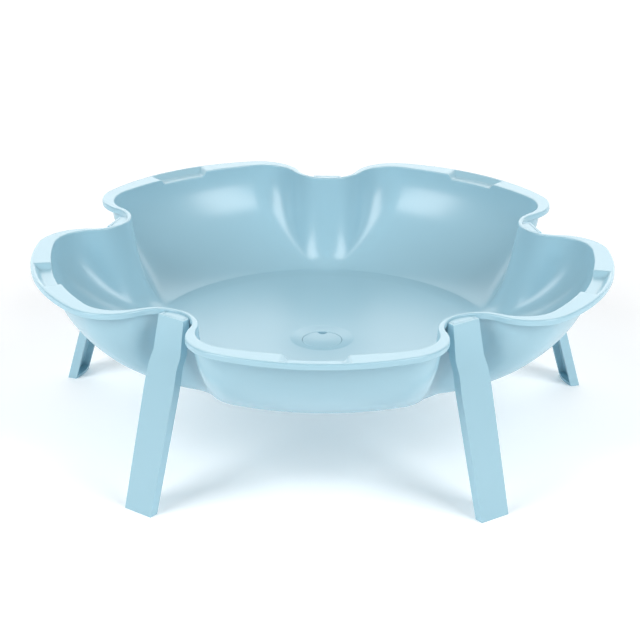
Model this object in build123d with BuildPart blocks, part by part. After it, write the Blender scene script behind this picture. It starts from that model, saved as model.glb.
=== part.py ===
from build123d import *
from math import atan2, degrees, radians, sqrt, tan
import os

# Pet bathtub: a five-lobed basin that stands on five pull-off legs, one in each
# notch between two lobes, with a drain plug that lifts out of the floor.
# Millimetres, +Z up, the floor it stands on at Z = 0, one lobe facing -Y.

# ---------------------------------------------------------------- rim
lobes = 5
rim_height = 187.0            # top of the rim above the floor
rim_tip = 300.0               # rim's edge at a lobe, from the tub's axis
rim_waist = 224.5             # rim's edge at a notch, from the tub's axis
lobe_round = 225.0            # radius of a lobe's outer edge
corner_round = 49.0           # radius between a lobe and a notch
notch_round = 34.0            # radius of a notch
rim_plate = 2.8               # thickness of the flat rim
skirt_drop = 6.0              # height of the skirt that hangs from the rim's edge
skirt_wall = 2.2
rim_edge_round = 1.6

# ---------------------------------------------------------------- basin
mouth_tip = 278.3             # basin's inner edge at a lobe
mouth_waist = 220.2           # basin's inner edge at a notch
mouth_corner_round = 40.0
mouth_notch_round = 42.2
floor_tip = 184.0             # floor's edge at a lobe
floor_waist = 172.0           # floor's edge at a notch
floor_corner_round = 35.0
floor_notch_round = 46.0
basin_depth = 97.0            # rim's top to the floor's edge
floor_fall = 5.4              # fall of the floor from its edge to the drain
floor_edge_flat = 6.0         # level border round the sloping floor
wall = 2.8
lobe_crown = 2.2              # how upright a lobe's wall is at the rim
lobe_foot = 1.27              # how sharply it meets the floor
notch_crown = 1.15
notch_foot = 3.0
levels = (0.0, 0.02, 0.06, 0.13, 0.24, 0.4, 0.6, 0.8, 1.0)

# ---------------------------------------------------------------- base ring
ring_radius = 165.0
ring_wall = 3.0
ring_drop = 112.5             # rim's top to the ring's lower edge

# ---------------------------------------------------------------- grips in the rim
grip_half = 34.2              # half its length along the rim
grip_depth = 5.7
grip_lip = 2.4                # rim left standing outside the grip
grip_lip_run = 8.0            # slope from that lip down to the grip's floor
grip_end_run = 7.0            # slope at each end of the grip
grip_plate = 2.5
grip_top_cover = 2.0          # rim above the top of the grip's own plate

# ---------------------------------------------------------------- drain
dish_radius = 33.4
dish_depth = 3.4
seat_radius = 21.0            # step that the plug's flange lies on
seat_depth = 2.8              # below the bottom of the dish
seat_wall = 3.4
outlet_radius = 17.0
outlet_drop = 112.0           # rim's top to the outlet's lower edge
plug_gap = 0.3                # round the plug and under its flange
seal_section = 2.4
seal_height = 1.8
stem_wall = 2.6
stem_short = 0.3              # stem ends above the outlet's lower edge
finger_notch = 5.0

# ---------------------------------------------------------------- legs
leg_top_reach = 237.0         # leg's outer face at its top, from the tub's axis
leg_top_drop = 2.0            # leg's top below the rim's top
seat_tilt = 11.6              # the leg slides on along this slope, degrees
seat_length = 34.0            # height of the stretch that slides on
shoulder_out = 7.0            # the leg steps out below that stretch
shoulder_drop = 12.0
leg_splay = 16.3              # slope of the leg below the step, degrees
leg_depth = 10.0
leg_web = 2.7
leg_wall = 2.5
leg_top_half = 15.5
leg_wide_half = 18.4          # at leg_wide_height
leg_wide_height = 120.0
leg_foot_half = 16.5
leg_wide_round = 150.0
sole = 3.0
sole_bulge = 2.5
stop_plate = 3.0              # crosswise plate in the leg, under the tenon

# ---------------------------------------------------------------- tenon in each notch
slide_gap = 0.3               # between a leg and its tenon, on every side
tenon_half = 12.5
tenon_plate = 4.0
tenon_rib = 2.6
deck_plate = 2.6
lip_overlap = 3.3             # how far a leg's lips reach in behind the tenon
weld = 0.3                    # how far parts of one moulding run into each other

beyond = 40.0                 # how far a cut runs past what it cuts

leg_bearings = {
    "leg_front_right": -54.0,
    "leg_right": 18.0,
    "leg_back": 90.0,
    "leg_left": 162.0,
    "leg_front_left": 234.0,
}
first_lobe = -90.0
first_notch = first_lobe + 180.0 / lobes

# ---------------------------------------------------------------- derived heights and reaches
leg_top = rim_height - leg_top_drop
seat_low = leg_top - seat_length
seat_slope = tan(radians(seat_tilt))
seat_low_reach = leg_top_reach + seat_length * seat_slope
shoulder_low = seat_low - shoulder_drop
shoulder_reach = seat_low_reach + shoulder_out
foot_reach = shoulder_reach + shoulder_low * tan(radians(leg_splay))
skirt_low = rim_height - skirt_drop
floor_level = rim_height - basin_depth
drain_level = floor_level - floor_fall
dish_level = drain_level - dish_depth
seat_level = dish_level - seat_depth
outlet_level = rim_height - outlet_drop
ring_level = rim_height - ring_drop
dish_curve = (dish_radius**2 + dish_depth**2) / (2 * dish_depth)
step_level = dish_level + dish_curve - sqrt(dish_curve**2 - seat_radius**2)
slot_half = tenon_half + slide_gap
lip_half = slot_half - lip_overlap

# The tub's axis stands so that the whole object's box is centred on X = Y = 0.
hub = Plane(origin=(0, (rim_tip - foot_reach) / 2, 0))
hub_axis = Axis(hub.origin, (0, 0, 1))
# Upright sections through the axis: across it, and along it.
across = Plane(origin=hub.origin, x_dir=(1, 0, 0), z_dir=(0, -1, 0))
side_view = Plane(origin=(0, 0, 0), x_dir=(1, 0, 0), z_dir=(0, -1, 0))
face_view = Plane(origin=(0, 0, 0), x_dir=(0, 1, 0), z_dir=(1, 0, 0))


def bearing(vector):
    """Direction of a vector in plan, in degrees."""
    return degrees(atan2(vector.Y, vector.X))


def lobed_outline(tip, waist, lobe_radius, corner_radius, notch_radius):
    """Closed outline with a lobe and a notch by turns, all arcs that run into each other."""
    half = 180.0 / lobes
    lobe_centre = Vector(tip - lobe_radius, 0)
    notch_centre = Vector(waist + notch_radius, 0).rotate(Axis.Z, half)
    # The corner's circle lies inside the lobe's circle and outside the notch's.
    span = notch_centre - lobe_centre
    to_lobe = lobe_radius - corner_radius
    to_notch = notch_radius + corner_radius
    along = (to_lobe**2 - to_notch**2 + span.length**2) / (2 * span.length)
    aside = sqrt(to_lobe**2 - along**2)
    ahead = span.normalized()
    corner_centre = lobe_centre + ahead * along + Vector(ahead.Y, -ahead.X) * aside
    lobe_end = bearing(corner_centre - lobe_centre)
    corner_end = bearing(notch_centre - corner_centre)
    next_corner = Vector(corner_centre.length, 0).rotate(Axis.Z, 2 * half - bearing(corner_centre))
    with BuildSketch() as outline:
        with BuildLine():
            for lobe in range(lobes):
                turn = first_lobe + lobe * 2 * half
                CenterArc(
                    lobe_centre.rotate(Axis.Z, turn),
                    lobe_radius,
                    turn - lobe_end,
                    2 * lobe_end,
                )
                CenterArc(
                    corner_centre.rotate(Axis.Z, turn),
                    corner_radius,
                    turn + lobe_end,
                    corner_end - lobe_end,
                )
                CenterArc(
                    notch_centre.rotate(Axis.Z, turn),
                    notch_radius,
                    turn + 180 + corner_end,
                    2 * (half - corner_end),
                )
                CenterArc(
                    next_corner.rotate(Axis.Z, turn),
                    corner_radius,
                    turn + 2 * half - corner_end,
                    corner_end - lobe_end,
                )
        make_face()
    return outline.sketch


def rim_outline(inset):
    """The rim's outer edge, moved inwards all round."""
    return lobed_outline(
        rim_tip - inset, rim_waist - inset, lobe_round - inset, corner_round - inset, notch_round + inset
    )


def rise(level, crown, foot):
    """Share of the way out from the floor's edge to the mouth, at a share of the height."""
    return (1 - (1 - level) ** crown) ** (1 / foot)


def notch_reach(level, grow):
    """How far the basin's wall stands from the axis in a notch, at a share of the height."""
    return floor_waist + (mouth_waist + grow - floor_waist) * rise(level, notch_crown, notch_foot)


def basin_section(level, grow):
    """The basin's outline at a share of its height; grow is 0 inside and the wall outside."""
    out = rise(level, lobe_crown, lobe_foot)
    tip = floor_tip + (mouth_tip + grow - floor_tip) * out
    corner = floor_corner_round + (mouth_corner_round + grow - floor_corner_round) * out
    notch = floor_notch_round + (mouth_notch_round - grow - floor_notch_round) * out
    return lobed_outline(tip, notch_reach(level, grow), tip, corner, notch)


def section_height(level, grow):
    """Height of that outline."""
    return rim_height - (1 - level) * (basin_depth + grow)


def rim_sector(inner, outer, half_angle):
    """Stretch of a lobe's rim between two radii about the lobe's own centre."""
    centre = (rim_tip - lobe_round, 0)
    with BuildSketch() as sector:
        with BuildLine():
            outside = CenterArc(centre, outer, -half_angle, 2 * half_angle)
            inside = CenterArc(centre, inner, -half_angle, 2 * half_angle)
            Line(outside @ 0, inside @ 0)
            Line(outside @ 1, inside @ 1)
        make_face()
    return sector.sketch


def lobe_angle(length):
    """Angle that a length along the rim takes up at the lobe's centre."""
    return degrees(length / lobe_round)


# ---------------------------------------------------------------- grip, drawn on a lobe at bearing 0
grip_floor = rim_height - grip_depth
grip_inner = mouth_tip - (rim_tip - lobe_round)
grip_outer = lobe_round - grip_lip
grip_angle = lobe_angle(grip_half)
grip_floor_angle = lobe_angle(grip_half - grip_end_run)
with BuildPart() as grip_cut:
    with BuildSketch(Plane.XY.offset(grip_floor)):
        add(rim_sector(grip_inner - beyond, grip_outer - grip_lip_run, grip_floor_angle))
    with BuildSketch(Plane.XY.offset(rim_height)):
        add(rim_sector(grip_inner - beyond, grip_outer, grip_angle))
    loft(ruled=True)

# The plate that carries the grip's floor, a plate's thickness wider at each end.
tray_inner = grip_inner + wall / 2
tray_outer = lobe_round - skirt_wall / 2
tray_angle = lobe_angle(grip_half + grip_plate)
tray_floor_angle = lobe_angle(grip_half - grip_end_run + grip_plate / 2)
with BuildPart() as grip_tray:
    with BuildSketch(Plane.XY.offset(grip_floor - grip_plate)):
        add(rim_sector(tray_inner, tray_outer, tray_floor_angle))
    with BuildSketch(Plane.XY.offset(rim_height - grip_top_cover)):
        add(rim_sector(tray_inner, tray_outer, tray_angle))
    loft(ruled=True)


def face_line(height, inward):
    """Point on a line parallel to the leg's outer face, over the stretch that slides on."""
    return (leg_top_reach + (leg_top - height) * seat_slope - inward, height)


# ---------------------------------------------------------------- tenon, drawn in a notch at bearing 0
tenon_front = leg_web + slide_gap
tenon_back = tenon_front + tenon_plate
rib_half = lip_half - slide_gap
deck_low = leg_top - deck_plate
deck_middle = leg_top - deck_plate / 2
wall_top_level = (skirt_low - rim_height + basin_depth) / basin_depth
wall_low_level = (seat_low - rim_height + basin_depth) / basin_depth
with BuildPart() as tenon:
    with BuildSketch(side_view):
        with BuildLine():
            Polyline(
                face_line(leg_top, tenon_front),
                face_line(seat_low, tenon_front),
                face_line(seat_low, tenon_back),
                face_line(leg_top, tenon_back),
                close=True,
            )
        make_face()
    extrude(amount=tenon_half, both=True)
    with BuildSketch(side_view):
        with BuildLine():
            Polyline(
                face_line(leg_top, tenon_front + weld),
                face_line(deck_low, tenon_front + weld),
                (rim_waist - skirt_wall / 2, deck_low),
                (rim_waist - skirt_wall / 2, leg_top),
                close=True,
            )
        make_face()
    extrude(amount=tenon_half, both=True)
    for side in (-1, 1):
        with BuildSketch(side_view.offset(side * (rib_half - tenon_rib / 2))):
            with BuildLine():
                Polyline(
                    face_line(deck_middle, tenon_back - weld),
                    face_line(seat_low, tenon_back - weld),
                    (notch_reach(wall_low_level, wall / 2), seat_low),
                    (notch_reach(wall_top_level, wall / 2), skirt_low),
                    (rim_waist - skirt_wall / 2, deck_middle),
                    close=True,
                )
            make_face()
        extrude(amount=tenon_rib / 2, both=True)

# ---------------------------------------------------------------- tub
with BuildPart(hub) as tub:
    with BuildSketch(hub.offset(skirt_low)):
        add(rim_outline(0))
    extrude(amount=skirt_drop)
    fillet(tub.faces().sort_by(Axis.Z)[-1].edges(), radius=rim_edge_round)
    with BuildSketch(hub.offset(skirt_low)):
        add(rim_outline(skirt_wall))
    extrude(amount=skirt_drop - rim_plate, mode=Mode.SUBTRACT)
    with PolarLocations(0, lobes, start_angle=first_lobe):
        add(grip_tray.part)
    with PolarLocations(0, lobes, start_angle=first_notch):
        add(tenon.part)
    for level in levels:
        with BuildSketch(hub.offset(section_height(level, wall))):
            add(basin_section(level, wall))
    loft()
    # Underside of the sloping floor, the outlet's boss and the base ring.
    with BuildSketch(across):
        with BuildLine():
            Polyline(
                (0, floor_level),
                (floor_waist - floor_edge_flat, floor_level),
                (floor_waist - floor_edge_flat, floor_level - wall),
                (dish_radius + wall, drain_level - wall),
                (dish_radius + wall, dish_level - wall),
                (seat_radius + seat_wall, dish_level - wall),
                (seat_radius + seat_wall, outlet_level),
                (0, outlet_level),
                close=True,
            )
        make_face()
        with BuildLine():
            Polyline(
                (ring_radius, floor_level - wall / 2),
                (ring_radius, ring_level),
                (ring_radius - ring_wall, ring_level),
                (ring_radius - ring_wall, floor_level - wall / 2),
                close=True,
            )
        make_face()
    revolve(axis=hub_axis)
    for level in levels:
        with BuildSketch(hub.offset(section_height(level, 0))):
            add(basin_section(level, 0))
    loft(mode=Mode.SUBTRACT)
    # The floor falls to a shallow dish with the plug's seat and the outlet in it.
    with BuildSketch(across):
        with BuildLine():
            Polyline(
                (seat_radius, step_level),
                (seat_radius, seat_level),
                (outlet_radius, seat_level),
                (outlet_radius, outlet_level),
                (0, outlet_level),
                (0, floor_level),
                (floor_waist - floor_edge_flat, floor_level),
                (dish_radius, drain_level),
            )
            RadiusArc((dish_radius, drain_level), (seat_radius, step_level), dish_curve)
        make_face()
    revolve(axis=hub_axis, mode=Mode.SUBTRACT)
    with PolarLocations(0, lobes, start_angle=first_lobe):
        add(grip_cut.part, mode=Mode.SUBTRACT)
tub.part.label = "tub"

# ---------------------------------------------------------------- drain plug and its seal
flange_radius = seat_radius - plug_gap
flange_low = seat_level + plug_gap
seal_outer = outlet_radius - plug_gap
stem_outer = seal_outer - seal_section
stem_low = outlet_level + stem_short
seal_low = stem_low + (flange_low - stem_low - seal_height) / 2
flange_edge = dish_level + dish_curve - sqrt(dish_curve**2 - flange_radius**2)
with BuildPart() as drain_plug:
    with BuildSketch(across):
        with BuildLine():
            Polyline(
                (0, dish_level),
                (0, flange_low),
                (stem_outer - stem_wall, flange_low),
                (stem_outer - stem_wall, stem_low),
                (seal_outer, stem_low),
                (seal_outer, seal_low),
                (stem_outer, seal_low),
                (stem_outer, seal_low + seal_height),
                (seal_outer, seal_low + seal_height),
                (seal_outer, flange_low),
                (flange_radius, flange_low),
                (flange_radius, flange_edge),
            )
            RadiusArc((flange_radius, flange_edge), (0, dish_level), dish_curve)
        make_face()
    revolve(axis=hub_axis)
    # A scoop in the flange's edge lets a fingertip in.
    with BuildSketch(hub.offset(flange_low)):
        with Locations((0, flange_radius)):
            Circle(finger_notch)
    extrude(amount=seat_depth + dish_depth, mode=Mode.SUBTRACT)
drain_plug.part.label = "drain_plug"

with BuildPart() as plug_seal:
    with BuildSketch(across):
        with Locations(((seal_outer + stem_outer) / 2, seal_low + seal_height / 2)):
            Rectangle(seal_section, seal_height)
    revolve(axis=hub_axis)
plug_seal.part.label = "plug_seal"

# ---------------------------------------------------------------- leg, drawn in a notch at bearing 0
leg_face = [
    (leg_top_reach, leg_top),
    (seat_low_reach, seat_low),
    (shoulder_reach, shoulder_low),
    (foot_reach, 0.0),
]


def inwards(points, distance):
    """The same points moved level towards the tub's axis."""
    return [(reach - distance, height) for reach, height in points]


stop_top = seat_low - slide_gap
stop_low = stop_top - stop_plate
lip_top = deck_low - slide_gap
lip_front = tenon_back + slide_gap
lower_face = [
    (seat_low_reach + (seat_low - stop_low) * shoulder_out / shoulder_drop, stop_low),
    (shoulder_reach, shoulder_low),
    (foot_reach - (foot_reach - shoulder_reach) * sole / shoulder_low, sole),
]
with BuildPart() as hollow:
    with BuildSketch(side_view):
        with BuildLine():
            Polyline(*inwards(lower_face, leg_web), *inwards(lower_face[::-1], beyond), close=True)
        make_face()
    extrude(amount=leg_wide_half, both=True)
    with BuildSketch(face_view):
        with BuildLine():
            Polyline(
                (leg_top_half - leg_wall, leg_top),
                (leg_wide_half - leg_wall, leg_wide_height),
                (leg_foot_half - leg_wall, 0),
                (leg_wall - leg_foot_half, 0),
                (leg_wall - leg_wide_half, leg_wide_height),
                (leg_wall - leg_top_half, leg_top),
                close=True,
            )
        make_face()
    extrude(amount=foot_reach, mode=Mode.INTERSECT)

with BuildPart() as leg:
    with BuildSketch(side_view):
        with BuildLine():
            Polyline(*leg_face, *inwards(leg_face[::-1], leg_depth), close=True)
        make_face()
    extrude(amount=leg_wide_half, both=True)
    with BuildSketch(face_view):
        with BuildLine():
            right = FilletPolyline(
                (leg_top_half, leg_top),
                (leg_wide_half, leg_wide_height),
                (leg_foot_half, 0),
                radius=leg_wide_round,
            )
            left = FilletPolyline(
                (-leg_top_half, leg_top),
                (-leg_wide_half, leg_wide_height),
                (-leg_foot_half, 0),
                radius=leg_wide_round,
            )
            Line(right @ 0, left @ 0)
            Line(right @ 1, left @ 1)
        make_face()
    extrude(amount=foot_reach, mode=Mode.INTERSECT)
    add(hollow.part, mode=Mode.SUBTRACT)
    # Wide slot for the tenon's plate, then the narrower mouth between the two lips.
    with BuildSketch(side_view):
        with BuildLine():
            Polyline(
                face_line(leg_top, leg_web),
                face_line(stop_top, leg_web),
                face_line(stop_top, lip_front),
                face_line(lip_top, lip_front),
                face_line(lip_top, beyond),
                face_line(leg_top, beyond),
                close=True,
            )
        make_face()
    extrude(amount=slot_half, both=True, mode=Mode.SUBTRACT)
    with BuildSketch(side_view):
        with BuildLine():
            Polyline(
                face_line(lip_top, leg_web),
                face_line(stop_top, leg_web),
                face_line(stop_top, beyond),
                face_line(lip_top, beyond),
                close=True,
            )
        make_face()
    extrude(amount=lip_half, both=True, mode=Mode.SUBTRACT)
    # Room for the rim's skirt behind the top of the leg.
    with BuildSketch(Plane.XY.offset(skirt_low - slide_gap)):
        with Locations((rim_waist, 0)):
            Rectangle(2 * (notch_round + beyond), 2 * (notch_round + beyond))
        with Locations((rim_waist + notch_round, 0)):
            Circle(notch_round - slide_gap, mode=Mode.SUBTRACT)
    extrude(amount=skirt_drop, mode=Mode.SUBTRACT)
    # The sole bulges a little towards the middle of the tub.
    with BuildSketch():
        with BuildLine():
            heel = foot_reach - leg_depth
            ThreePointArc((heel, -leg_foot_half), (heel - sole_bulge, 0), (heel, leg_foot_half))
            Polyline(
                (heel, leg_foot_half),
                (heel + leg_web, leg_foot_half),
                (heel + leg_web, -leg_foot_half),
                (heel, -leg_foot_half),
            )
        make_face()
    extrude(amount=sole)

os.makedirs("parts", exist_ok=True)
export_step(tub.part, "parts/tub.step")
export_step(drain_plug.part, "parts/drain_plug.step")
export_step(plug_seal.part, "parts/plug_seal.step")
for name, turn in leg_bearings.items():
    with BuildPart() as placed_leg:
        with Locations(Location(hub.origin, (0, 0, turn))):
            add(leg.part)
    placed_leg.part.label = name
    export_step(placed_leg.part, f"parts/{name}.step")
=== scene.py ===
"""Pet bathtub: a five-lobed basin on five pull-off legs, with a drain plug in its floor.

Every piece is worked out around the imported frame. Lengths are metres, +Z is up, one lobe
faces -Y, and the tub's own axis is upright through the middle of its drain plug.
"""

from math import pi, radians

import bmesh
import bpy
import numpy as np
from mathutils import Euler, Matrix, Vector


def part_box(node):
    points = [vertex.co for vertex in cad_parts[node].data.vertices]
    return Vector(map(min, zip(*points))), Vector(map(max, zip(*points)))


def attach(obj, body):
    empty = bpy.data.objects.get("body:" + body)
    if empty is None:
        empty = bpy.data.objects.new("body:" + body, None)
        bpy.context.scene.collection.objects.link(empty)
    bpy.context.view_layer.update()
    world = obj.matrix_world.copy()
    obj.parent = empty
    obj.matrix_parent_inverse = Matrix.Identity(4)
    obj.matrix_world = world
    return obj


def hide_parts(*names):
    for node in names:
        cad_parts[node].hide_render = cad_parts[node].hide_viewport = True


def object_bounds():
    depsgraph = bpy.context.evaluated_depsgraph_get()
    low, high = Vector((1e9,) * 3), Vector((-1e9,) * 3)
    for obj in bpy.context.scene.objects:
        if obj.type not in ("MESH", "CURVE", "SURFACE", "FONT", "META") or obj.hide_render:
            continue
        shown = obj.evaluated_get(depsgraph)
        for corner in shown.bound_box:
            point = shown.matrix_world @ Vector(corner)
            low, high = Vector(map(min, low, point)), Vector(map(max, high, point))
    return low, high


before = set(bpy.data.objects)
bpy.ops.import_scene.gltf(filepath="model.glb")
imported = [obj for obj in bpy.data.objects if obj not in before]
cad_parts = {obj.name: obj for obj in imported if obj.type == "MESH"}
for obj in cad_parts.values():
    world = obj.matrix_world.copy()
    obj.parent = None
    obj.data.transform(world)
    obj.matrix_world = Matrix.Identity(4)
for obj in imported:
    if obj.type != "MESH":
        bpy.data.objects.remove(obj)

bl_info = {
    "name": "Pet Bathtub",
    "version": (1, 0, 0),
    "blender": (4, 5, 0),
    "location": "View3D > Sidebar > Bathtub",
    "description": "Makes a flower-shaped pet bathtub, its legs, its drain plug and the studio",
    "category": "Add Mesh",
}

MM = 0.001
DOUBLES = 0.002 * MM
FLAT_TURN = radians(0.5)

CAD_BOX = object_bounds()
RIM_HEIGHT = CAD_BOX[1][2]
PLUG_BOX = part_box("drain_plug")
SEAL_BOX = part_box("plug_seal")
TUB_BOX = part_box("tub")
# The tub's axis runs up the middle of the plug's seal.
HUB = np.array([(SEAL_BOX[0][0] + SEAL_BOX[1][0]) / 2, (SEAL_BOX[0][1] + SEAL_BOX[1][1]) / 2, 0.0])
LEG_NODES = sorted(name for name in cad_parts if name.startswith("leg_"))


def length(label, description, millimetres):
    """A size that the user may change, given in millimetres and kept in metres."""
    return bpy.props.FloatProperty(
        name=label, description=description, default=millimetres * MM, unit="LENGTH", precision=5
    )


def shape(label, description, value):
    """A plain number that bends a curve."""
    return bpy.props.FloatProperty(name=label, description=description, default=value)


def shade(label, description, value):
    """A share from 0 to 1."""
    return bpy.props.FloatProperty(
        name=label, description=description, default=value, min=0.0, max=1.0, subtype="FACTOR"
    )


def colour(label, description, value):
    """A linear colour."""
    return bpy.props.FloatVectorProperty(
        name=label, description=description, default=value, size=3, min=0.0, max=1.0, subtype="COLOR"
    )


# ---------------------------------------------------------------- sizes and finishes


class RimSizes(bpy.types.PropertyGroup):
    """The flat rim, its skirt and the grips in it."""

    lobes: bpy.props.IntProperty(name="Lobes", description="Lobes round the basin", default=5)
    tip: length("Tip", "Rim's edge at a lobe, from the tub's axis", 300.0)
    waist: length("Waist", "Rim's edge at a notch, from the tub's axis", 224.5)
    lobe_round: length("Lobe round", "Radius of a lobe's outer edge", 225.0)
    corner_round: length("Corner round", "Radius between a lobe and a notch", 49.0)
    notch_round: length("Notch round", "Radius of a notch", 34.0)
    plate: length("Plate", "Thickness of the flat rim", 2.8)
    skirt_drop: length("Skirt drop", "Height of the skirt that hangs from the rim's edge", 6.0)
    skirt_wall: length("Skirt wall", "Thickness of the skirt", 2.2)
    edge_round: length("Edge round", "Radius along the rim's outer edge", 1.6)
    mouth_edge_round: length("Mouth edge round", "Radius where the rim turns down into the basin", 1.3)
    inner_fillet: length("Inner fillet", "Radius in the corners under the rim", 1.2)
    grip_half: length("Grip half", "Half a grip's length along the rim", 34.2)
    grip_depth: length("Grip depth", "How deep a grip is let into the rim", 5.7)
    grip_lip: length("Grip lip", "Rim left standing outside a grip", 2.4)
    grip_lip_run: length("Grip lip run", "Slope from that lip down to the grip's floor", 8.0)
    grip_end_run: length("Grip end run", "Slope at each end of a grip", 7.0)
    grip_plate: length("Grip plate", "Thickness under a grip", 2.5)


class BasinSizes(bpy.types.PropertyGroup):
    """The basin's wall and floor, and the ring under it."""

    mouth_tip: length("Mouth tip", "Basin's inner edge at a lobe", 278.3)
    mouth_waist: length("Mouth waist", "Basin's inner edge at a notch", 220.2)
    mouth_corner_round: length("Mouth corner round", "Corner radius at the mouth", 40.0)
    mouth_notch_round: length("Mouth notch round", "Notch radius at the mouth", 42.2)
    floor_tip: length("Floor tip", "Floor's edge at a lobe", 184.0)
    floor_waist: length("Floor waist", "Floor's edge at a notch", 172.0)
    floor_corner_round: length("Floor corner round", "Corner radius at the floor", 35.0)
    floor_notch_round: length("Floor notch round", "Notch radius at the floor", 46.0)
    depth: length("Depth", "Rim's top down to the floor's edge", 97.0)
    floor_fall: length("Floor fall", "Fall of the floor from its edge to the drain", 5.4)
    floor_edge_flat: length("Floor edge flat", "Level border round the sloping floor", 6.0)
    wall: length("Wall", "Thickness of the wall", 2.8)
    lobe_crown: shape("Lobe crown", "How upright a lobe's wall is at the rim", 2.2)
    lobe_foot: shape("Lobe foot", "How sharply a lobe's wall meets the floor", 1.27)
    notch_crown: shape("Notch crown", "How upright a notch's wall is at the rim", 1.15)
    notch_foot: shape("Notch foot", "How sharply a notch's wall meets the floor", 3.0)
    ring_radius: length("Ring radius", "Outside of the base ring", 165.0)
    ring_wall: length("Ring wall", "Thickness of the base ring", 3.0)
    ring_round: length("Ring round", "Radius along the base ring's lower edges", 0.9)


class DrainSizes(bpy.types.PropertyGroup):
    """The dish in the floor, the outlet and the plug."""

    dish_radius: length("Dish radius", "Radius of the shallow dish", 33.4)
    dish_depth: length("Dish depth", "Depth of the shallow dish", 3.4)
    seat_radius: length("Seat radius", "Step that the plug's flange lies on", 21.0)
    seat_depth: length("Seat depth", "Step's depth below the dish", 2.8)
    seat_wall: length("Seat wall", "Wall round the step", 3.4)
    outlet_radius: length("Outlet radius", "Radius of the outlet's bore", 17.0)
    outlet_drop: length("Outlet drop", "Rim's top down to the outlet's lower edge", 112.0)
    plug_gap: length("Plug gap", "Gap round the plug and under its flange", 0.3)
    seal_section: length("Seal section", "Depth of the seal and of its groove", 2.4)
    stem_wall: length("Stem wall", "Thickness of the plug's hollow stem", 2.6)
    finger_notch: length("Finger notch", "Radius of the scoop in the flange's edge", 5.0)
    edge_round: length("Edge round", "Radius along the plug's and the outlet's edges", 0.3)


class LegSizes(bpy.types.PropertyGroup):
    """The pull-off legs and the tenons that they slide onto."""

    top_reach: length("Top reach", "Leg's outer face at its top, from the tub's axis", 237.0)
    top_drop: length("Top drop", "Leg's top below the rim's top", 2.0)
    seat_tilt: bpy.props.FloatProperty(
        name="Seat tilt", description="Slope that a leg slides on along",
        default=radians(11.6), subtype="ANGLE",
    )
    seat_length: length("Seat length", "Height of the stretch that slides on", 34.0)
    web: length("Web", "Thickness of a leg's outer face", 2.7)
    slide_gap: length("Slide gap", "Gap between a leg and its tenon", 0.3)
    tenon_half: length("Tenon half", "Half a tenon's width", 12.5)
    tenon_plate: length("Tenon plate", "Thickness of a tenon's plate", 4.0)
    tenon_rib: length("Tenon rib", "Thickness of each rib behind it", 2.6)
    lip_overlap: length("Lip overlap", "How far a leg's lips reach in behind the tenon", 3.3)
    deck_plate: length("Deck plate", "Thickness of the deck over the tenon", 2.6)
    edge_round: length("Edge round", "Radius along a leg's edges", 0.4)


class Finishes(bpy.types.PropertyGroup):
    """Colours and gloss."""

    plastic: colour("Plastic", "Pastel blue of the tub, its legs and its plug", (0.2, 0.332, 0.432))
    plastic_deep: colour("Plastic, deeper", "Blue where the moulding is thicker", (0.186, 0.314, 0.414))
    edge_tint: colour("Edge tint", "Blue along thin and rubbed edges", (0.26, 0.39, 0.48))
    roughness_low: shade("Roughness, low", "Most polished parts of the plastic", 0.07)
    roughness_high: shade("Roughness, high", "Least polished parts of the plastic", 0.13)
    silicone: colour("Silicone", "Pale grey of the plug's seal", (0.55, 0.6, 0.62))
    backdrop: colour("Backdrop", "Studio floor and backdrop", (0.96, 0.96, 0.965))
    backdrop_glow: shade("Backdrop glow", "Light that comes through the paper from behind it", 0.15)


class StudioView(bpy.types.PropertyGroup):
    """The camera."""

    azimuth: bpy.props.FloatProperty(
        name="Azimuth", description="Camera's turn about the tub, from straight in front",
        default=radians(1.15), subtype="ANGLE",
    )
    elevation: bpy.props.FloatProperty(
        name="Elevation", description="Camera's height over the horizon",
        default=radians(22.69), subtype="ANGLE",
    )
    roll: bpy.props.FloatProperty(
        name="Roll", description="Camera's turn about its own line of sight",
        default=radians(0.4), subtype="ANGLE",
    )
    distance: length("Distance", "Camera to the point that it looks at", 2036.0)
    aim_height: length("Aim height", "Height of the point that it looks at", 106.4)
    aim_side: length("Aim side", "That point's distance to the right of the middle", -2.3)
    lens: bpy.props.FloatProperty(
        name="Lens", description="Focal length over a 36 mm sensor", default=109.45, unit="CAMERA"
    )


def metres(label, description, value):
    """A size of the studio, given and kept in metres."""
    return bpy.props.FloatProperty(name=label, description=description, default=value, unit="LENGTH")


def watts(label, description, value):
    """How strong a light is."""
    return bpy.props.FloatProperty(name=label, description=description, default=value, unit="POWER")


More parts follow.
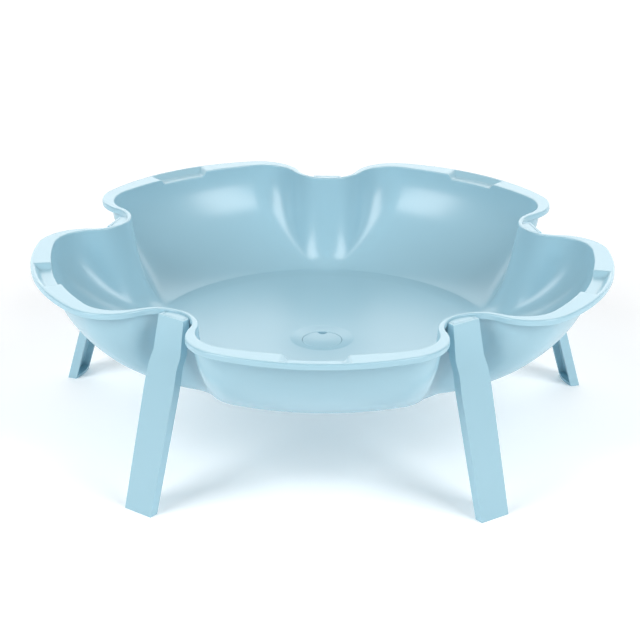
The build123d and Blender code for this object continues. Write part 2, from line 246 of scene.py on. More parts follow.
class Studio(bpy.types.PropertyGroup):
    """The lights, the room and the paper floor that turns up behind."""

    softbox_turn: bpy.props.FloatProperty(
        name="Softbox turn", description="Turn of each softbox from straight in front of the tub",
        default=radians(48), subtype="ANGLE",
    )
    softbox_reach: metres("Softbox reach", "Softboxes' distance from a point just behind the middle", 2.1)
    softbox_behind: metres("Softbox behind", "How far behind the middle that point lies", 0.2)
    softbox_height: metres("Softbox height", "Height of the softboxes", 1.45)
    softbox_width: metres("Softbox width", "Width of each softbox", 1.05)
    softbox_length: metres("Softbox length", "Length of each softbox", 1.75)
    softbox_power: watts("Softbox power", "Power of each softbox", 36.0)
    softbox_aim: metres("Softbox aim", "Height that the softboxes point at", 0.1)
    panel_behind: metres("Panel behind", "How far behind the middle the back panel stands", 2.9)
    panel_height: metres("Panel height", "Height of the back panel's middle", 1.5)
    panel_width: metres("Panel width", "Width of the back panel", 7.0)
    panel_length: metres("Panel length", "Height of the back panel from edge to edge", 3.0)
    panel_power: watts("Panel power", "Power of the back panel", 118.0)
    room: colour("Room", "Colour of the light from all round", (0.97, 0.985, 1.0))
    room_strength: shade("Room strength", "Strength of the light from all round", 0.17)
    paper_half_width: metres("Paper half width", "Half the paper's width", 6.0)
    paper_front: metres("Paper front", "How far the paper reaches in front of the tub", 5.0)
    paper_bend: metres("Paper bend", "Where the paper starts to turn up behind the tub", 3.0)
    paper_radius: metres("Paper radius", "Radius that it turns up with", 1.5)
    paper_height: metres("Paper height", "Height of the paper's upper edge", 4.0)


# ---------------------------------------------------------------- outlines of the basin


class Columns:
    """Where the grid's columns stand round the tub: a lobe's number and a place on its outline.

    The place runs from 0 at a lobe's tip, by 1 and 2 at the two ends of the corner's arc, to 3
    at the middle of the notch, and is negative on the other side of the tip.
    """

    def __init__(self, lobes):
        flat = np.linspace(0.0, 0.27, 7)[:-1]
        grip_end = np.linspace(0.27, 0.37, 10)[:-1]
        side = np.linspace(0.37, 1.0, 12)[:-1]
        corner = np.linspace(1.0, 2.0, 15)[:-1]
        notch = np.linspace(2.0, 3.0, 13)
        ahead = np.concatenate([flat, grip_end, side, corner, notch])
        place = np.concatenate([-ahead[-2:0:-1], ahead])
        self.half = pi / lobes
        self.place = np.tile(place, lobes)
        self.turn = np.repeat(np.arange(lobes) * 2 * self.half - pi / 2, len(place))


def lobed_outline(columns, tip, waist, lobe_radius, corner_radius, notch_radius):
    """Points of an outline of lobes and notches, as two arrays x and y about the tub's axis.

    A lobe's arc, a corner's arc and a notch's arc run into each other. The corner's centre is
    where a circle of radius lobe minus corner about the lobe's centre crosses a circle of
    radius notch plus corner about the notch's centre. The sizes may be arrays that fit the
    columns, so one call makes a whole grid of outlines.
    """
    place = np.abs(columns.place)
    half = columns.half
    lobe_x = tip - lobe_radius
    notch_x = (waist + notch_radius) * np.cos(half)
    notch_y = (waist + notch_radius) * np.sin(half)
    span = np.hypot(notch_x - lobe_x, notch_y)
    ahead_x = (notch_x - lobe_x) / span
    ahead_y = notch_y / span
    to_lobe = lobe_radius - corner_radius
    to_notch = notch_radius + corner_radius
    along = (to_lobe**2 - to_notch**2 + span**2) / (2 * span)
    aside = np.sqrt(to_lobe**2 - along**2)
    corner_x = lobe_x + ahead_x * along + ahead_y * aside
    corner_y = ahead_y * along - ahead_x * aside
    lobe_end = np.arctan2(corner_y, corner_x - lobe_x)
    corner_end = np.arctan2(notch_y - corner_y, notch_x - corner_x)
    lobe_angle = lobe_end * place
    corner_angle = lobe_end + (corner_end - lobe_end) * (place - 1)
    notch_angle = corner_end + (half - corner_end) * (place - 2) + pi
    on_lobe, on_corner = place <= 1, place <= 2
    x = np.where(on_lobe, lobe_x + lobe_radius * np.cos(lobe_angle),
                 np.where(on_corner, corner_x + corner_radius * np.cos(corner_angle),
                          notch_x + notch_radius * np.cos(notch_angle)))
    y = np.where(on_lobe, lobe_radius * np.sin(lobe_angle),
                 np.where(on_corner, corner_y + corner_radius * np.sin(corner_angle),
                          notch_y + notch_radius * np.sin(notch_angle)))
    y = y * np.where(columns.place < 0, -1.0, 1.0)
    cosine, sine = np.cos(columns.turn), np.sin(columns.turn)
    return x * cosine - y * sine, x * sine + y * cosine


def rim_outline(columns, rim, inset):
    """The rim's outer edge, moved inwards all round."""
    return lobed_outline(columns, rim.tip - inset, rim.waist - inset, rim.lobe_round - inset,
                         rim.corner_round - inset, rim.notch_round + inset)


def rise(level, crown, foot):
    """Share of the way out from the floor's edge to the mouth, at a share of the basin's height.

    Both shares run from 0 to 1. The crown makes the wall upright at the mouth, and the foot
    makes it flat at the floor.
    """
    return (1 - (1 - level) ** crown) ** (1 / foot)


def basin_outline(columns, basin, level, grow):
    """The basin's outline at a share of its height, moved outwards by grow at the mouth."""
    out = rise(level, basin.lobe_crown, basin.lobe_foot)
    out_notch = rise(level, basin.notch_crown, basin.notch_foot)
    tip = basin.floor_tip + (basin.mouth_tip + grow - basin.floor_tip) * out
    waist = basin.floor_waist + (basin.mouth_waist + grow - basin.floor_waist) * out_notch
    corner = basin.floor_corner_round + (basin.mouth_corner_round + grow - basin.floor_corner_round) * out
    notch = basin.floor_notch_round + (basin.mouth_notch_round - grow - basin.floor_notch_round) * out
    return lobed_outline(columns, tip, waist, tip, corner, notch)


def grip_share(columns, rim, x, y, widen=0.0):
    """How far a point is let down into a grip, from 0 on the rim to 1 on the grip's floor.

    The lesser of two ramps, one from the grip's ends and one from its outer lip, eased in and
    out by three squares less two cubes. widen moves both ramps outwards.
    """
    cosine, sine = np.cos(columns.turn), np.sin(columns.turn)
    ahead = x * cosine + y * sine - (rim.tip - rim.lobe_round)
    aside = y * cosine - x * sine
    along = np.abs(np.arctan2(aside, ahead)) * rim.lobe_round
    reach = np.hypot(ahead, aside)
    end_ramp = (rim.grip_half + widen - along) / rim.grip_end_run
    lip_ramp = (rim.lobe_round - rim.grip_lip + widen - reach) / rim.grip_lip_run
    share = np.clip(np.minimum(end_ramp, lip_ramp), 0.0, 1.0)
    return share * share * (3 - 2 * share)


# ---------------------------------------------------------------- rows of the tub's surface


class Rows:
    """Rows of points that together make the tub's closed skin, from row to row."""

    def __init__(self, columns):
        self.columns = columns
        self.rows = []

    def add(self, x, y, z):
        """Adds one row or several, at heights z that may differ from column to column."""
        z = z + np.zeros_like(x)
        grid = np.stack(np.broadcast_arrays(x, y, z), axis=-1)
        self.rows.append(grid.reshape(-1, len(self.columns.place), 3))

    def grid(self):
        """All rows as one array of rows by columns by three."""
        return np.concatenate(self.rows)


def turned_rows(rows, bearings, profile):
    """Rows on circles about the tub's axis, from a profile of radii and heights."""
    for radius, height in profile:
        rows.add(radius * np.cos(bearings), radius * np.sin(bearings), height)


def quarter(centre, radius, start, steps):
    """Points of a quarter turn about a centre, anticlockwise, or clockwise for negative steps."""
    sign = 1 if steps > 0 else -1
    angles = start + sign * np.linspace(0.0, pi / 2, abs(steps) + 1)
    return [(centre[0] + radius * np.cos(angle), centre[1] + radius * np.sin(angle)) for angle in angles]


def floor_profile(basin, drain, top):
    """Radii and heights from the outlet's lower edge, up its bore and over the dish, to the floor's edge."""
    floor_level = top - basin.depth
    drain_level = floor_level - basin.floor_fall
    dish_level = drain_level - drain.dish_depth
    seat_level = dish_level - drain.seat_depth
    outlet_level = top - drain.outlet_drop
    edge = drain.edge_round
    curve = (drain.dish_radius**2 + drain.dish_depth**2) / (2 * drain.dish_depth)

    def dish(radius):
        return dish_level + curve - np.sqrt(curve**2 - radius**2)

    step_level = dish(drain.seat_radius + edge)
    profile = quarter((drain.outlet_radius + edge, outlet_level + edge), edge, -pi / 2, -3)
    profile += quarter((drain.outlet_radius + edge, seat_level - edge), edge, pi, -3)
    profile += [(drain.seat_radius - edge, seat_level)]
    profile += quarter((drain.seat_radius - edge, seat_level + edge), edge, -pi / 2, 3)[1:]
    profile += quarter((drain.seat_radius + edge, step_level - edge), edge, pi, -3)
    for radius in np.linspace(drain.seat_radius + 2 * edge, drain.dish_radius - edge, 8):
        profile.append((radius, dish(radius)))
    outer = basin.floor_waist - basin.floor_edge_flat
    for share in (0.004, 0.02, 0.1, 0.25, 0.45, 0.7, 0.9, 0.98):
        radius = drain.dish_radius + (outer - drain.dish_radius) * share
        profile.append((radius, drain_level + basin.floor_fall * share))
    profile.append((outer + (basin.floor_waist - outer) / 3, floor_level))
    return profile


def under_profile(basin, drain, top):
    """Radii and heights under the floor, from outside the base ring in to the outlet's lower edge."""
    floor_level = top - basin.depth - basin.wall
    drain_level = floor_level - basin.floor_fall
    dish_level = drain_level - drain.dish_depth
    outlet_level = top - drain.outlet_drop
    ring_level = TUB_BOX[0][2]
    outside, inside = basin.ring_radius, basin.ring_radius - basin.ring_wall
    fillet, edge = basin.ring_round, basin.ring_round
    boss = drain.seat_radius + drain.seat_wall
    profile = quarter((outside + fillet, floor_level - fillet), fillet, pi / 2, 3)
    profile += quarter((outside - edge, ring_level + edge), edge, 0.0, -4)
    profile += quarter((inside + edge, ring_level + edge), edge, -pi / 2, -4)
    profile += quarter((inside - fillet, floor_level - fillet), fillet, 0.0, 3)
    profile += [(basin.ring_radius * share, floor_level - basin.floor_fall * (1 - share))
                for share in (0.85, 0.6, 0.4)]
    dish_slant = 1 * MM
    profile += [(drain.dish_radius + basin.wall, drain_level),
                (drain.dish_radius + dish_slant, dish_level)]
    profile += quarter((boss + fillet, dish_level - fillet), fillet, pi / 2, 3)
    profile += quarter((boss - drain.edge_round, outlet_level + drain.edge_round),
                       drain.edge_round, 0.0, -3)
    return profile


def tub_rows(columns, rim, basin, drain, top):
    """The tub's whole skin as rows of columns, from the outlet up the inside, over the rim and back under.

    Between the floor's circles and the mouth each row is an outline of the basin. Over the rim
    a row is a share of the way from the mouth's outline to the rim's, let down in the grips.
    """
    rows = Rows(columns)
    floor_x, floor_y = basin_outline(columns, basin, 0.0, 0.0)
    bearings = np.arctan2(floor_y, floor_x)
    turned_rows(rows, bearings, floor_profile(basin, drain, top))

    # Up the inside of the wall, lower at the top where a grip opens into the basin.
    edge = rim.mouth_edge_round
    mouth_x, mouth_y = basin_outline(columns, basin, 1.0, 0.0)
    let_down = rim.grip_depth * grip_share(columns, rim, mouth_x, mouth_y)
    top_level = 1 - (edge + let_down) / basin.depth
    share = (np.linspace(0.0, 1.0, 34) ** 1.7)[:, None]
    level = share * top_level
    x, y = basin_outline(columns, basin, level, 0.0)
    rows.add(x, y, top - (1 - level) * basin.depth)

    # The mouth's rounded edge, then the rim's top, then its rounded outer edge.
    for angle in np.linspace(0.0, pi / 2, 5)[1:]:
        x, y = basin_outline(columns, basin, 1.0, edge * (1 - np.cos(angle)))
        rows.add(x, y, top - let_down - edge * (1 - np.sin(angle)))
    inner_x, inner_y = x, y
    outer_x, outer_y = rim_outline(columns, rim, rim.edge_round)
    for share in (0.03, 0.12, 0.26, 0.4, 0.5, 0.56, 0.62, 0.68, 0.74, 0.8, 0.86, 0.91, 0.95, 0.98):
        x = inner_x + (outer_x - inner_x) * share
        y = inner_y + (outer_y - inner_y) * share
        rows.add(x, y, top - rim.grip_depth * grip_share(columns, rim, x, y))
    for angle in np.linspace(0.0, pi / 2, 6):
        x, y = rim_outline(columns, rim, rim.edge_round * (1 - np.sin(angle)))
        rows.add(x, y, top - rim.edge_round * (1 - np.cos(angle)))

    # Down the skirt, round its lower edge and up inside it.
    low = top - rim.skirt_drop
    lip = rim.skirt_wall / 3
    x, y = rim_outline(columns, rim, 0.0)
    rows.add(x, y, top - rim.skirt_drop / 2)
    for inset, height in quarter((lip, low + lip), lip, pi, 3):
        x, y = rim_outline(columns, rim, inset)
        rows.add(x, y, height)
    for inset, height in quarter((rim.skirt_wall - lip, low + lip), lip, -pi / 2, 3):
        x, y = rim_outline(columns, rim, inset)
        rows.add(x, y, height)
    fillet = rim.inner_fillet
    under = top - rim.plate
    for inset, height in quarter((rim.skirt_wall + fillet, under - fillet), fillet, pi, -3):
        x, y = rim_outline(columns, rim, inset)
        rows.add(x, y, height)

    # Under the rim and the grips to the outside of the wall, and down it to the floor.
    outer_x, outer_y = x, y
    inner_x, inner_y = basin_outline(columns, basin, 1.0, basin.wall + fillet)
    grip_under = rim.grip_depth + rim.grip_plate - rim.plate
    for share in (0.02, 0.1, 0.2, 0.3, 0.4, 0.5, 0.7, 0.9):
        x = outer_x + (inner_x - outer_x) * share
        y = outer_y + (inner_y - outer_y) * share
        rows.add(x, y, under - grip_under * grip_share(columns, rim, x, y, rim.grip_plate / 2))
    hang = grip_under * grip_share(columns, rim, inner_x, inner_y, rim.grip_plate / 2)
    for angle in np.linspace(0.0, pi / 2, 4):
        x, y = basin_outline(columns, basin, 1.0, basin.wall + fillet * (1 - np.sin(angle)))
        rows.add(x, y, under - hang - fillet * (1 - np.cos(angle)))
    whole = basin.depth + basin.wall
    top_level = 1 - (rim.plate + hang + fillet) / whole
    share = (np.linspace(1.0, 0.0, 28)[1:] ** 1.5)[:, None]
    level = share * top_level
    x, y = basin_outline(columns, basin, level, basin.wall)
    rows.add(x, y, top - (1 - level) * whole)
    turned_rows(rows, bearings, under_profile(basin, drain, top))
    return rows.grid()


# ---------------------------------------------------------------- meshes


def closed_grid_mesh(name, grid):
    """A mesh from a grid of points that closes on itself both ways, turned to face outwards."""
    row_count, column_count = grid.shape[:2]
    index = np.arange(row_count * column_count).reshape(row_count, column_count)
    below = np.roll(index, -1, axis=0)
    quads = np.stack([index, np.roll(index, -1, axis=1), np.roll(below, -1, axis=1), below], axis=-1)
    return outward_mesh(name, grid.reshape(-1, 3), quads.reshape(-1, 4))


def outward_mesh(name, points, quads):
    """A mesh of quads, turned over if the volume that they enclose comes out negative."""
    corners = points[quads]
    middle = corners.mean(axis=1)
    normal = np.cross(corners[:, 2] - corners[:, 0], corners[:, 3] - corners[:, 1])
    if np.einsum("ij,ij->", middle, normal) < 0:
        quads = quads[:, ::-1]
    mesh = bpy.data.meshes.new(name)
    mesh.from_pydata(points, [], quads)
    mesh.validate()
    mesh.shade_smooth()
    return mesh


def prism(profile, low, high):
    """Points and faces of a closed prism: a profile of (reach, height) carried from side low to high."""
    count = len(profile)
    profile = np.asarray(profile)
    points = np.zeros((2 * count, 3))
    points[:count, 0], points[:count, 2], points[:count, 1] = profile[:, 0], profile[:, 1], low
    points[count:, 0], points[count:, 2], points[count:, 1] = profile[:, 0], profile[:, 1], high
    ring = np.arange(count)
    after = np.roll(ring, -1)
    sides = np.stack([ring, after, after + count, ring + count], axis=-1).tolist()
    return points, sides + [ring[::-1].tolist(), (ring + count).tolist()]


def place(name, mesh, body, slot, material, replaced):
    """Puts a finished mesh in the scene as a piece that rides on a body and stands for a CAD node."""
    piece = bpy.data.objects.new(name, mesh)
    bpy.context.scene.collection.objects.link(piece)
    mesh.materials.clear()
    mesh.materials.append(material)
    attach(piece, body)
    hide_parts(replaced)
    return piece


def round_edges(piece, radius, turn=radians(35)):
    """Rounds a piece's sharp edges and evens its shading over the flat faces."""
    bevel = piece.modifiers.new("rounded edges", "BEVEL")
    bevel.width = radius
    bevel.segments = 3
    bevel.limit_method = "ANGLE"
    bevel.angle_limit = turn
    bevel.use_clamp_overlap = False
    even_shading(piece)


def even_shading(piece):
    """Leans the shading of every corner towards its largest face, so flat faces look flat."""
    even = piece.modifiers.new("even shading", "WEIGHTED_NORMAL")
    even.weight = 100
    even.keep_sharp = True


def capped_grid_mesh(name, grid):
    """A mesh from a grid whose rows are rings, each end closed by a fan about its middle."""
    row_count, column_count = grid.shape[:2]
    index = np.arange(row_count * column_count).reshape(row_count, column_count)
    after = np.roll(index, -1, axis=1)
    quads = np.stack([index[:-1], after[:-1], after[1:], index[1:]], axis=-1).reshape(-1, 4).tolist()
    first, last = row_count * column_count, row_count * column_count + 1
    fans = np.stack([after[0], index[0], np.full(column_count, first)], axis=-1).tolist()
    fans += np.stack([index[-1], after[-1], np.full(column_count, last)], axis=-1).tolist()
    points = np.concatenate([grid.reshape(-1, 3), [grid[0].mean(axis=0), grid[-1].mean(axis=0)]])
    mesh = bpy.data.meshes.new(name)
    mesh.from_pydata(points, [], quads + fans)
    face_outwards(mesh)
    mesh.shade_smooth()
    return mesh


def face_outwards(mesh):
    """Turns every closed shell of a mesh to face outwards."""
    shell = bmesh.new()
    shell.from_mesh(mesh)
    bmesh.ops.recalc_face_normals(shell, faces=shell.faces)
    shell.to_mesh(mesh)
    shell.free()


def merged_copy(node, name):
    """A copy of a CAD node's mesh with its doubles merged and its flat faces made whole."""
    shell = bmesh.new()
    shell.from_mesh(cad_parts[node].data)
    bmesh.ops.remove_doubles(shell, verts=shell.verts, dist=DOUBLES)
    bmesh.ops.dissolve_limit(shell, angle_limit=FLAT_TURN, verts=shell.verts, edges=shell.edges)
    mesh = bpy.data.meshes.new(name)
    shell.to_mesh(mesh)
    shell.free()
    mesh.shade_smooth()
    return mesh


# ---------------------------------------------------------------- materials


class Finish:
    """A material being put together from nodes around one Principled shader."""

    def __init__(self, name):
        self.material = bpy.data.materials.new(name)
        self.material.use_nodes = True
        self.nodes = self.material.node_tree.nodes
        self.links = self.material.node_tree.links
        self.shader = self.nodes["Principled BSDF"]
        self.place = self.nodes.new("ShaderNodeTexCoord").outputs["Object"]

    def noise(self, per_metre, detail, roughness=0.5):
        """Noise with that many cells to a metre."""
        node = self.nodes.new("ShaderNodeTexNoise")
        node.inputs["Scale"].default_value = per_metre
        node.inputs["Detail"].default_value = detail
        node.inputs["Roughness"].default_value = roughness
        self.links.new(self.place, node.inputs["Vector"])
        return node.outputs["Fac"]

    def spread(self, value, low, high):
        """The value's middle stretch spread out from low to high."""
        node = self.nodes.new("ShaderNodeMapRange")
        node.inputs["From Min"].default_value = 0.3
        node.inputs["From Max"].default_value = 0.7
        node.inputs["To Min"].default_value = low
        node.inputs["To Max"].default_value = high
        self.links.new(value, node.inputs["Value"])
        return node.outputs["Result"]

    def mix(self, share, first, second):
        """A colour between two, each a plain colour or a socket."""
        node = self.nodes.new("ShaderNodeMix")
        node.data_type = "RGBA"
        self.links.new(share, node.inputs["Factor"])
        for socket, value in ((node.inputs[6], first), (node.inputs[7], second)):
            if isinstance(value, bpy.types.NodeSocket):
                self.links.new(value, socket)
            else:
                socket.default_value = (*value, 1.0)
        return node.outputs[2]

    def bump(self, heights):
        """Bumps from (value, height in metres) pairs, one on top of the other."""
        normal = None
        for value, height in heights:
            node = self.nodes.new("ShaderNodeBump")
            node.inputs["Strength"].default_value = 1.0
            node.inputs["Distance"].default_value = height
            self.links.new(value, node.inputs["Height"])
            if normal is not None:
                self.links.new(normal, node.inputs["Normal"])
            normal = node.outputs["Normal"]
        self.links.new(normal, self.shader.inputs["Normal"])

    def link(self, value, socket):
        """Links a value to one of the shader's sockets."""
        self.links.new(value, self.shader.inputs[socket])


def blue_plastic(finishes):
    """Glossy moulded plastic: faint flow clouds, uneven polish and the mould's slight ripple."""
    finish = Finish("blue_plastic")
    clouds = finish.spread(finish.noise(7.0, 3.0), 0.0, 1.0)
    body = finish.mix(clouds, finishes.plastic_deep, finishes.plastic)
    attribute = finish.nodes.new("ShaderNodeAttribute")
    attribute.attribute_name = "edge"
    finish.link(finish.mix(attribute.outputs["Fac"], body, finishes.edge_tint), "Base Color")
    polish = finish.noise(38.0, 4.0, 0.6)
    finish.link(finish.spread(polish, finishes.roughness_low, finishes.roughness_high), "Roughness")
    finish.bump([(finish.noise(16.0, 1.0), 0.35 * MM), (finish.noise(900.0, 2.0), 0.004 * MM)])
    shader = finish.shader
    shader.inputs["IOR"].default_value = 1.49
    shader.inputs["Coat Weight"].default_value = 1.0
    shader.inputs["Coat Roughness"].default_value = 0.05
    shader.inputs["Subsurface Weight"].default_value = 0.12
    shader.inputs["Subsurface Radius"].default_value = (1.2, 2.0, 2.4)
    shader.inputs["Subsurface Scale"].default_value = 2 * MM
    return finish.material


def grey_silicone(finishes):
    """Soft silicone: a matt skin with a little dust in its colour."""
    finish = Finish("grey_silicone")
    dusty = tuple(0.86 * part for part in finishes.silicone)
    finish.link(finish.mix(finish.spread(finish.noise(220.0, 3.0), 0.0, 1.0), dusty, finishes.silicone),
                "Base Color")
    finish.link(finish.spread(finish.noise(150.0, 2.0), 0.45, 0.6), "Roughness")
    finish.bump([(finish.noise(1500.0, 2.0), 0.01 * MM)])
    finish.shader.inputs["IOR"].default_value = 1.41
    finish.shader.inputs["Subsurface Weight"].default_value = 0.2
    finish.shader.inputs["Subsurface Scale"].default_value = 1 * MM
    return finish.material


def paper_backdrop(finishes):
    """Matt white studio paper."""
    finish = Finish("paper_backdrop")
    warm = tuple(0.985 * part for part in finishes.backdrop)
    finish.link(finish.mix(finish.spread(finish.noise(1.5, 2.0), 0.0, 1.0), warm, finishes.backdrop),
                "Base Color")
    finish.shader.inputs["Roughness"].default_value = 0.9
    finish.shader.inputs["Specular IOR Level"].default_value = 0.1
    finish.shader.inputs["Emission Color"].default_value = (1.0, 1.0, 1.0, 1.0)
    finish.shader.inputs["Emission Strength"].default_value = finishes.backdrop_glow
    return finish.material


def material(name):
    """One of the scene's materials, made the first time that it is asked for."""
    makers = {"blue_plastic": blue_plastic, "grey_silicone": grey_silicone, "paper_backdrop": paper_backdrop}
    return bpy.data.materials.get(name) or makers[name](bpy.context.scene.tub_finishes)


# ---------------------------------------------------------------- operators


class TubOperator:
    """What every operator here shares."""

    bl_options = {"REGISTER", "UNDO"}

    @classmethod
    def poll(cls, context):
        return context.scene is not None


class OBJECT_OT_make_tub(TubOperator, bpy.types.Operator):
    """Make the tub: basin, rim, grips, drain and base ring in one closed skin"""

    bl_idname = "object.make_tub"
    bl_label = "Tub"

    def execute(self, context):
        scene = context.scene
        columns = Columns(scene.tub_rim.lobes)
        grid = tub_rows(columns, scene.tub_rim, scene.tub_basin, scene.tub_drain, RIM_HEIGHT) + HUB
        mesh = closed_grid_mesh("tub_skin", grid)
        piece = place("tub_skin", mesh, "tub", "blue_plastic", material("blue_plastic"), "tub")
        self.mark_edges(mesh, scene.tub_rim)
        even_shading(piece)
        return {"FINISHED"}

    def mark_edges(self, mesh, rim):
        """Gives each point of the rim's rounded edges a share of the edge's paler tint."""
        points = np.zeros(len(mesh.vertices) * 3)
        normals = np.zeros(len(mesh.vertices) * 3)
        mesh.vertices.foreach_get("co", points)
        mesh.vertex_normals.foreach_get("vector", normals)
        height = points.reshape(-1, 3)[:, 2]
        upward = normals.reshape(-1, 3)[:, 2]
        near_top = np.clip(1 - (RIM_HEIGHT - height) / rim.edge_round, 0.0, 1.0)
        slanted = np.clip(4 * upward * (1 - upward), 0.0, 1.0)
        edge = mesh.attributes.new("edge", "FLOAT", "POINT")
        edge.data.foreach_set("value", near_top * slanted)


class OBJECT_OT_make_tenons(TubOperator, bpy.types.Operator):
    """Make the tenons that the legs slide onto, each with its deck and two ribs"""

    bl_idname = "object.make_tenons"
    bl_label = "Tenons"

    def execute(self, context):
        scene = context.scene
        points, faces = self.tenon(scene.tub_leg, scene.tub_rim, scene.tub_basin)
        lobes = scene.tub_rim.lobes
        turns = np.arange(lobes) * 2 * pi / lobes - pi / 2 + pi / lobes
        cosine, sine = np.cos(turns)[:, None], np.sin(turns)[:, None]
        x = points[:, 0] * cosine - points[:, 1] * sine
        y = points[:, 0] * sine + points[:, 1] * cosine
        z = points[:, 2] + np.zeros_like(x)
        everywhere = np.stack([x, y, z], axis=-1).reshape(-1, 3) + HUB
        count = len(points)
        all_faces = [[corner + count * turn for corner in face] for turn in range(lobes) for face in faces]
        mesh = bpy.data.meshes.new("tub_tenons")
        mesh.from_pydata(everywhere, [], all_faces)
        face_outwards(mesh)
        mesh.shade_smooth()
        piece = place("tub_tenons", mesh, "tub", "blue_plastic", material("blue_plastic"), "tub")
        round_edges(piece, scene.tub_leg.edge_round)
        return {"FINISHED"}

    def tenon(self, leg, rim, basin):
        """Points and faces of one tenon, drawn at bearing 0 about the tub's axis."""
        slope = np.tan(leg.seat_tilt)
        top = RIM_HEIGHT - leg.top_drop
        low = top - leg.seat_length
        front = leg.web + leg.slide_gap
        back = front + leg.tenon_plate
        deck_low = top - leg.deck_plate
        skirt_low = RIM_HEIGHT - rim.skirt_drop
        rim_inside = rim.waist - rim.skirt_wall / 2

        def face(height, inward):
            return (leg.top_reach + (top - height) * slope - inward, height)

        def wall(height):
            level = (height - RIM_HEIGHT + basin.depth) / basin.depth
            share = rise(level, basin.notch_crown, basin.notch_foot)
            mouth = basin.mouth_waist + basin.wall / 2
            return (basin.floor_waist + (mouth - basin.floor_waist) * share, height)

        weld = 0.3 * MM
        deck_middle = top - leg.deck_plate / 2
        plate = [face(deck_middle, front), face(low, front), face(low, back), face(deck_middle, back)]
        deck = [face(top, front), face(deck_low, front + weld), (rim_inside, deck_low), (rim_inside, top)]
        rib = [face(deck_middle, back - weld), face(low, back - weld), wall(low), wall(skirt_low),
               (rim_inside, deck_middle)]
        rib_half = leg.tenon_half - leg.lip_overlap
        solids = [
            prism(plate, -leg.tenon_half, leg.tenon_half),
            prism(deck, -leg.tenon_half, leg.tenon_half),
            prism(rib, -rib_half, leg.tenon_rib - rib_half),
            prism(rib, rib_half - leg.tenon_rib, rib_half),
        ]
        points, faces, count = [], [], 0
        for solid_points, solid_faces in solids:
            points.append(solid_points)
            faces += [[corner + count for corner in corners] for corners in solid_faces]
            count += len(solid_points)
        return np.concatenate(points), faces


class OBJECT_OT_make_legs(TubOperator, bpy.types.Operator):
    """Make the legs with their edges rounded"""

    bl_idname = "object.make_legs"
    bl_label = "Legs"

    def execute(self, context):
        for name in LEG_NODES:
            mesh = merged_copy(name, name + "_moulded")
            piece = place(name + "_moulded", mesh, name, "blue_plastic", material("blue_plastic"), name)
            round_edges(piece, context.scene.tub_leg.edge_round)
        return {"FINISHED"}


class OBJECT_OT_make_plug(TubOperator, bpy.types.Operator):
    """Make the drain plug, hollow underneath, with a fingertip's scoop in its flange"""

    bl_idname = "object.make_plug"
    bl_label = "Drain plug"

    def execute(self, context):
        mesh = self.plug(context.scene.tub_drain, context.scene.tub_basin)
        plastic = material("blue_plastic")
        piece = place("drain_plug_moulded", mesh, "plug", "blue_plastic", plastic, "drain_plug")
        even_shading(piece)
        return {"FINISHED"}

    def plug(self, drain, basin):
        """A profile carried round the axis. The flange's radii give way where the scoop bites in.

        Along a bearing that crosses the scoop, the flange ends at the near crossing of that
        bearing with the scoop's circle.
        """
        edge = drain.edge_round
        groove_edge = 0.2 * MM
        bottom = PLUG_BOX[0][2]
        curve = (drain.dish_radius**2 + drain.dish_depth**2) / (2 * drain.dish_depth)
        dish_level = RIM_HEIGHT - basin.depth - basin.floor_fall - drain.dish_depth
        flange = drain.seat_radius - drain.plug_gap
        flange_low = dish_level - drain.seat_depth + drain.plug_gap
        seal_low, seal_high = SEAL_BOX[0][2], SEAL_BOX[1][2]
        seal_outer = (SEAL_BOX[1][0] - SEAL_BOX[0][0]) / 2
        stem_outer = seal_outer - drain.seal_section
        stem_inner = stem_outer - drain.stem_wall
        bearings = np.linspace(0.0, 2 * pi, 240, endpoint=False)
        off = np.angle(np.exp(1j * (bearings - pi / 2)))
        inside = np.maximum(drain.finger_notch**2 - (flange * np.sin(off)) ** 2, 0.0)
        crossing = flange * np.cos(off) - np.sqrt(inside)
        bitten = (inside > 0) & (np.cos(off) > 0)
        rim = np.where(bitten, np.minimum(crossing, flange), flange)
        rows = []

        def row(radius, height):
            radius = radius + np.zeros_like(bearings)
            rows.append(np.stack([radius * np.cos(bearings), radius * np.sin(bearings),
                                  height + np.zeros_like(bearings)], axis=-1))

        def dish(radius):
            return dish_level + curve - np.sqrt(curve**2 - radius**2)

        for share in (0.02, 0.15, 0.35, 0.55, 0.75, 0.9, 0.97):
            row((rim - edge) * share, dish((rim - edge) * share))
        for angle in np.linspace(0.0, pi / 2, 4):
            row(rim - edge * (1 - np.sin(angle)), dish(rim - edge) - edge * (1 - np.cos(angle)))
        for angle in np.linspace(0.0, pi / 2, 4):
            row(rim - edge * (1 - np.cos(angle)), flange_low + edge * (1 - np.sin(angle)))
        for radius, height in (
            (seal_outer + groove_edge, flange_low), (seal_outer, flange_low - groove_edge),
            (seal_outer, seal_high + groove_edge), (seal_outer - groove_edge, seal_high),
            (stem_outer, seal_high), (stem_outer, seal_low),
            (seal_outer - groove_edge, seal_low), (seal_outer, seal_low - groove_edge),
            (seal_outer, bottom + edge), (seal_outer - edge, bottom),
            (stem_inner + edge, bottom), (stem_inner, bottom + edge),
            (stem_inner, flange_low - edge), (stem_inner - edge, flange_low),
            (stem_inner / 2, flange_low), (0.02 * stem_inner, flange_low),
        ):
            row(radius, height)
        grid = np.stack(rows) + HUB
        return capped_grid_mesh("drain_plug_moulded", grid)


